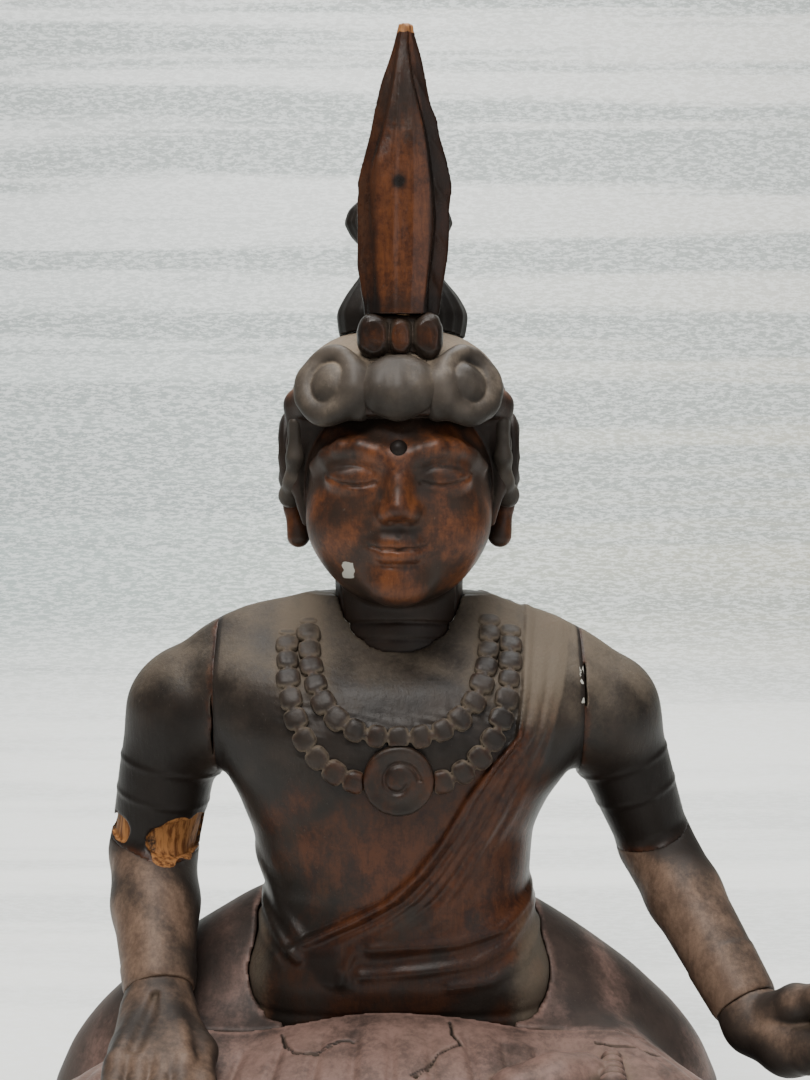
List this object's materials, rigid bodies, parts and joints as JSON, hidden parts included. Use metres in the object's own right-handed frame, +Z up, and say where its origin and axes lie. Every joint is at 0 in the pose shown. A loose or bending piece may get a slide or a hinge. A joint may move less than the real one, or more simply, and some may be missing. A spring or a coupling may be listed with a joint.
{
  "type": "seated buddha statue",
  "caption": "Seated wooden devotional figure of joined lacquered blocks, with a plug-in head, topknot, tall crown plume and left hand over a broad draped lap.",
  "frame": {"origin": "on the underside of the trunk's base board, under the middle of the trunk, in the plane that the statue sits on", "axes": "+Z up; the figure faces -Y; +X is the figure's own left side"},
  "size_m": [0.3676, 0.2169, 0.499],
  "materials": {
    "body_lacquer": "worn dark lacquer over red-brown wood",
    "lap_lacquer": "dusty, worn lacquer",
    "face_lacquer": "lacquer worn to polished wood",
    "hair_lacquer": "dull dark lacquer",
    "plume_lacquer": "polished worn wood with dark edges",
    "bare_wood": "old unfinished softwood",
    "iron": "rusted forged iron"
  },
  "bodies": {
    "figure": {"trunk_front": "body_lacquer", "trunk_back": "body_lacquer", "trunk_base_board": "bare_wood", "lap_block": "lap_lacquer", "lap_base_board": "bare_wood", "right_hip_block": "lap_lacquer", "left_hip_block": "lap_lacquer", "lap_staple_right": "iron", "lap_staple_left": "iron", "trunk_staple_right": "iron", "trunk_staple_left": "iron", "hip_staple_right": "iron", "hip_staple_left": "iron", "right_upper_arm": "body_lacquer", "right_forearm": "body_lacquer", "right_hand": "body_lacquer", "right_shoulder_dowel_front": "bare_wood", "right_shoulder_dowel_back": "bare_wood", "right_elbow_dowel": "bare_wood", "right_wrist_tenon": "bare_wood", "left_upper_arm": "body_lacquer", "left_forearm": "body_lacquer", "left_shoulder_dowel_front": "bare_wood", "left_shoulder_dowel_back": "bare_wood", "left_elbow_dowel": "bare_wood", "necklace_inner_strand": "body_lacquer", "necklace_outer_strand": "body_lacquer", "necklace_pendant": "body_lacquer"},
    "head": {"head_front": "face_lacquer", "head_back": "hair_lacquer", "head_dowel_right": "bare_wood", "head_dowel_left": "bare_wood", "forehead_jewel": "face_lacquer", "right_ear": "face_lacquer", "left_ear": "face_lacquer", "right_side_lock": "hair_lacquer", "left_side_lock": "hair_lacquer", "right_hair_scroll": "hair_lacquer", "left_hair_scroll": "hair_lacquer", "centre_hair_lobe": "hair_lacquer"},
    "topknot": {"topknot_lower": "hair_lacquer", "topknot_upper": "hair_lacquer", "topknot_peg": "bare_wood"},
    "plume": {"crown_band": "plume_lacquer", "crown_plume": "plume_lacquer", "plume_peg": "bare_wood"},
    "left_hand": {"left_hand": "body_lacquer", "left_wrist_tenon": "bare_wood"}
  },
  "joints": [
    {"name": "head_lift", "type": "slide", "parent": "figure", "child": "head", "axis": [0, 0, 1], "range_m": [0, 0.05]},
    {"name": "topknot_lift", "type": "slide", "parent": "head", "child": "topknot", "axis": [0, 0, 1], "range_m": [0, 0.03]},
    {"name": "plume_lift", "type": "slide", "parent": "head", "child": "plume", "axis": [0, 0, 1], "range_m": [0, 0.035]},
    {"name": "left_hand_pull", "type": "slide", "parent": "figure", "child": "left_hand", "axis": [0.3608, -0.666, -0.6529], "range_m": [0, 0.03]}
  ]
}
